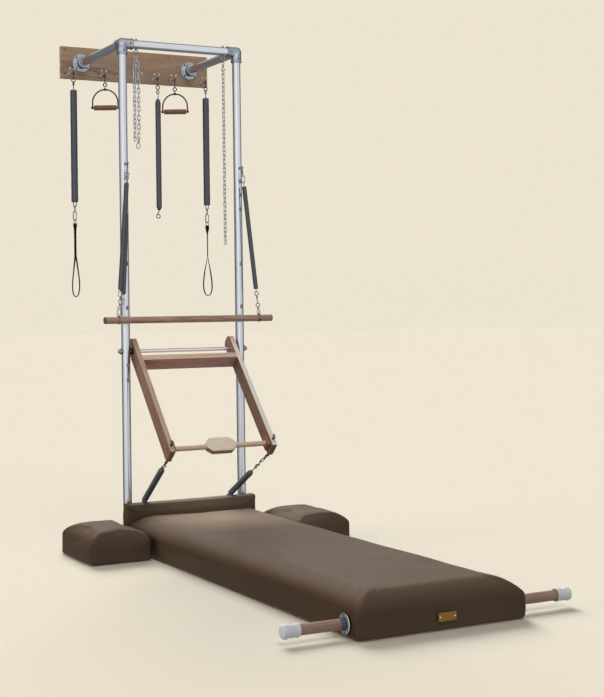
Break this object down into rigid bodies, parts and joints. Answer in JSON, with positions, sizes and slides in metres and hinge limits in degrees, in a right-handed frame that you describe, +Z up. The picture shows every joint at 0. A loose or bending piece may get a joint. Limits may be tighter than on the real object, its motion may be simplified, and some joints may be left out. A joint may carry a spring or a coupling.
{
  "type": "pilates tower unit",
  "caption": "Wall-fixed exercise tower of steel tube with a swinging push-through frame, roll-down bar, hanging springs, loops, grips and chains, a long padded mat and loose padded boxes.",
  "frame": {"origin": "floor level under the middle of the footprint", "axes": "+X to the right when facing the tower from the mat's foot end, +Y from the mat's foot towards the wall, +Z up"},
  "size_m": [1.178, 2.6358, 2.269],
  "materials": {
    "steel_tube": "bright drawn tube, satin",
    "fittings": "galvanised cast fittings, semi-bright",
    "wire_parts": "bright plated wire and snaps",
    "beech": "clear satin varnish",
    "board_wood": "clear satin varnish, darker",
    "grip_wood": "polished, reddish",
    "vinyl": "dark brown upholstery vinyl over foam",
    "sleeve": "black ribbed cover over a steel coil",
    "webbing": "black webbing",
    "tip_rubber": "grey rubber, matt",
    "badge": "polished brass, bare",
    "plywood": "raw plywood"
  },
  "bodies": {
    "tower_and_mat": {"wall_board": "board_wood", "wall_flange_left": "fittings", "wall_flange_right": "fittings", "rear_pipe_left": "steel_tube", "rear_pipe_right": "steel_tube", "corner_fitting_left": "fittings", "corner_fitting_right": "fittings", "crossbar": "steel_tube", "upright_left": "steel_tube", "upright_right": "steel_tube", "floor_flange_left": "fittings", "floor_flange_right": "fittings", "lower_crossbar": "steel_tube", "upright_eye_left": "wire_parts", "upright_eye_right": "wire_parts", "board_hook_leg_left": "wire_parts", "board_hook_handle_left": "wire_parts", "board_hook_arm": "wire_parts", "board_hook_handle_right": "wire_parts", "board_hook_leg_right": "wire_parts", "chain_eye_left": "wire_parts", "chain_eye_right": "wire_parts", "mat_base": "plywood", "mat_pad": "vinyl", "headboard_pad": "vinyl", "badge_plate": "badge", "dowel_collar_left": "fittings", "dowel_collar_right": "fittings"},
    "push_through_frame": {"ptb_axle": "steel_tube", "ptb_arm_left": "beech", "ptb_arm_right": "beech", "ptb_cross_board": "beech", "ptb_dowel": "beech", "ptb_paddle": "beech", "ptb_eye_left": "wire_parts", "ptb_eye_right": "wire_parts"},
    "push_spring_left": {"ptb_spring_left": "sleeve"},
    "push_snap_left": {"ptb_snap_left": "wire_parts"},
    "push_spring_right": {"ptb_spring_right": "sleeve"},
    "push_snap_right": {"ptb_snap_right": "wire_parts"},
    "roll_down_springs": {"roll_down_spring_left": "sleeve", "roll_down_spring_right": "sleeve"},
    "roll_down_bar": {"roll_down_bar": "beech"},
    "short_spring": {"short_spring": "sleeve"},
    "leg_spring_left": {"leg_spring_left": "sleeve"},
    "foot_loop_left": {"leg_strap_left": "webbing"},
    "leg_spring_right": {"leg_spring_right": "sleeve"},
    "foot_loop_right": {"leg_strap_right": "webbing"},
    "arm_spring": {"arm_spring": "sleeve"},
    "hand_loop_left": {"handle_bail_left": "wire_parts"},
    "hand_grip_left": {"handle_grip_left": "grip_wood"},
    "hand_loop_right": {"handle_bail_right": "wire_parts"},
    "hand_grip_right": {"handle_grip_right": "grip_wood"},
    "chain_left": {"chain_left": "wire_parts"},
    "chain_right": {"chain_right": "wire_parts"},
    "foot_dowel": {"foot_dowel": "beech", "dowel_tip_left": "tip_rubber", "dowel_tip_right": "tip_rubber"},
    "side_box_left": {"side_box_left": "vinyl"},
    "side_box_right": {"side_box_right": "vinyl"}
  },
  "joints": [
    {"name": "push_frame_swing", "type": "hinge", "parent": "tower_and_mat", "child": "push_through_frame", "pos_m": [0, 0.7509, 0.844], "axis": [-1, 0, 0], "range_deg": [0, 45], "stiffness_Nm_per_rad": 60, "springref_deg": -1.72},
    {"name": "push_spring_left_swing", "type": "hinge", "parent": "push_through_frame", "child": "push_snap_left", "pos_m": [-0.2355, 0.39763, 0.39405], "axis": [1, 0, 0], "range_deg": [0, 30.5]},
    {"name": "push_spring_left_stretch", "type": "slide", "parent": "push_snap_left", "child": "push_spring_left", "axis": [0, 0.8521, -0.5234], "range_m": [0, 0.45], "deforming": ["ptb_spring_left"]},
    {"name": "push_spring_right_swing", "type": "hinge", "parent": "push_through_frame", "child": "push_snap_right", "pos_m": [0.2355, 0.39763, 0.39405], "axis": [1, 0, 0], "range_deg": [0, 30.5]},
    {"name": "push_spring_right_stretch", "type": "slide", "parent": "push_snap_right", "child": "push_spring_right", "axis": [0, 0.8521, -0.5234], "range_m": [0, 0.45], "deforming": ["ptb_spring_right"]},
    {"name": "roll_down_swing", "type": "hinge", "parent": "tower_and_mat", "child": "roll_down_springs", "pos_m": [0, 0.7033, 1.664], "axis": [-1, 0, 0], "range_deg": [0, 25]},
    {"name": "roll_down_pull", "type": "slide", "parent": "roll_down_springs", "child": "roll_down_bar", "axis": [0, -0.6, -0.8], "range_m": [0, 0.45], "stiffness_N_per_m": 240, "springref_m": -0.04, "deforming": ["roll_down_spring_left", "roll_down_spring_right"]},
    {"name": "short_spring_swing", "type": "hinge", "parent": "tower_and_mat", "child": "short_spring", "pos_m": [-0.277, 0.7199, 1.478], "axis": [-1, 0, 0], "range_deg": [0, 37]},
    {"name": "leg_spring_left_swing", "type": "hinge", "parent": "tower_and_mat", "child": "leg_spring_left", "pos_m": [-0.3288, 1.2539, 2.14], "axis": [-1, 0, 0], "range_deg": [-2.5, 25]},
    {"name": "leg_spring_left_pull", "type": "slide", "parent": "leg_spring_left", "child": "foot_loop_left", "axis": [0, 0, -1], "range_m": [0, 0.5], "stiffness_N_per_m": 180, "springref_m": -0.05, "deforming": ["leg_spring_left"]},
    {"name": "leg_spring_right_swing", "type": "hinge", "parent": "tower_and_mat", "child": "leg_spring_right", "pos_m": [0.3472, 1.2539, 2.14], "axis": [-1, 0, 0], "range_deg": [-2.5, 25]},
    {"name": "leg_spring_right_pull", "type": "slide", "parent": "leg_spring_right", "child": "foot_loop_right", "axis": [0, 0, -1], "range_m": [0, 0.5], "stiffness_N_per_m": 180, "springref_m": -0.05, "deforming": ["leg_spring_right"]},
    {"name": "arm_spring_swing", "type": "hinge", "parent": "tower_and_mat", "child": "arm_spring", "pos_m": [0.0952, 1.2539, 2.14], "axis": [-1, 0, 0], "range_deg": [-4, 40]},
    {"name": "hand_loop_left_swing", "type": "hinge", "parent": "tower_and_mat", "child": "hand_loop_left", "pos_m": [-0.1728, 1.2539, 2.14], "axis": [-1, 0, 0], "range_deg": [-10, 60]},
    {"name": "hand_grip_left_spin", "type": "hinge", "parent": "hand_loop_left", "child": "hand_grip_left", "pos_m": [-0.1728, 1.2539, 1.9835], "axis": [0.891, -0.454, 0], "continuous": true},
    {"name": "hand_loop_right_swing", "type": "hinge", "parent": "tower_and_mat", "child": "hand_loop_right", "pos_m": [0.1842, 1.2539, 2.14], "axis": [-1, 0, 0], "range_deg": [-10, 60]},
    {"name": "hand_grip_right_spin", "type": "hinge", "parent": "hand_loop_right", "child": "hand_grip_right", "pos_m": [0.1842, 1.2539, 1.9835], "axis": [0.891, -0.454, 0], "continuous": true},
    {"name": "chain_left_swing", "type": "hinge", "parent": "tower_and_mat", "child": "chain_left", "pos_m": [-0.211, 0.7509, 2.1534], "axis": [-1, 0, 0], "range_deg": [-30, 30]},
    {"name": "chain_right_swing", "type": "hinge", "parent": "tower_and_mat", "child": "chain_right", "pos_m": [0.21, 0.7509, 2.1534], "axis": [-1, 0, 0], "range_deg": [-15, 15]},
    {"name": "foot_dowel_slide", "type": "slide", "parent": "tower_and_mat", "child": "foot_dowel", "axis": [1, 0, 0], "range_m": [-0.15, 0.15]},
    {"name": "side_box_left_lift", "type": "slide", "parent": "tower_and_mat", "child": "side_box_left", "axis": [0, 0, 1], "range_m": [0, 0.3]},
    {"name": "side_box_right_lift", "type": "slide", "parent": "tower_and_mat", "child": "side_box_right", "axis": [0, 0, 1], "range_m": [0, 0.3]}
  ],
  "couplings": [
    {"joint": "push_spring_left_swing", "follows": "push_frame_swing", "ratio": 0.66719},
    {"joint": "push_spring_right_swing", "follows": "push_frame_swing", "ratio": 0.66719},
    {"joint": "push_spring_left_stretch", "follows": "push_frame_swing", "m_per_rad": 0.52281},
    {"joint": "push_spring_right_stretch", "follows": "push_frame_swing", "m_per_rad": 0.52281},
    {"joint": "short_spring_swing", "follows": "roll_down_swing", "ratio": 1.45}
  ]
}
